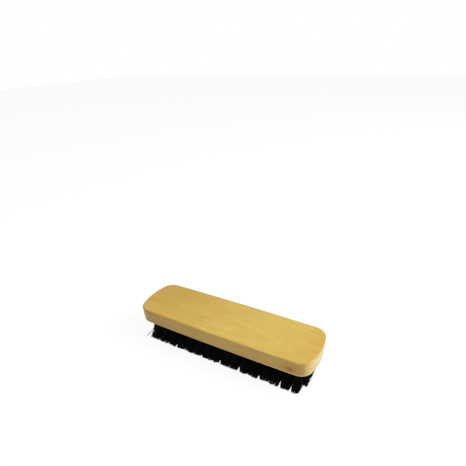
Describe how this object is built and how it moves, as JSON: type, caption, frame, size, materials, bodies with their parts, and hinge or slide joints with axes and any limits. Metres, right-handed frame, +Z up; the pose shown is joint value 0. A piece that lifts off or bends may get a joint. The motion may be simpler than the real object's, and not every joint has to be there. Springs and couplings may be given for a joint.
{
  "type": "shoe shine brush",
  "caption": "Oblong wooden shoe brush with bowed sides and round corners; its flat underside is set with dense tufts of black hair for shining shoes by hand.",
  "frame": {"origin": "centre of the brush seen from above, at the level of the hair tips that it stands on", "axes": "+X along the length towards the end that is nearer in the picture, +Z up out of the flat top of the block"},
  "size_m": [0.165, 0.0476, 0.0302],
  "materials": {
    "lacquered_wood": "pale fine-grained hardwood under a clear satin lacquer that has yellowed a little",
    "black_hair": "straight black horsehair, trimmed level",
    "anchor_wire": "flat drawn steel wire, plain"
  },
  "bodies": {
    "root": {"block": "lacquered_wood", "tufts_01": "black_hair", "tufts_02": "black_hair", "tufts_03": "black_hair", "tufts_04": "black_hair", "tufts_05": "black_hair", "tufts_06": "black_hair", "tufts_07": "black_hair", "tufts_08": "black_hair", "tufts_09": "black_hair", "tufts_10": "black_hair", "tufts_11": "black_hair", "tufts_12": "black_hair", "tufts_13": "black_hair", "tufts_14": "black_hair", "tufts_15": "black_hair", "tufts_16": "black_hair", "tufts_17": "black_hair", "anchors_01": "anchor_wire", "anchors_02": "anchor_wire", "anchors_03": "anchor_wire", "anchors_04": "anchor_wire", "anchors_05": "anchor_wire", "anchors_06": "anchor_wire", "anchors_07": "anchor_wire", "anchors_08": "anchor_wire", "anchors_09": "anchor_wire", "anchors_10": "anchor_wire", "anchors_11": "anchor_wire", "anchors_12": "anchor_wire", "anchors_13": "anchor_wire", "anchors_14": "anchor_wire", "anchors_15": "anchor_wire", "anchors_16": "anchor_wire", "anchors_17": "anchor_wire"}
  },
  "joints": []
}
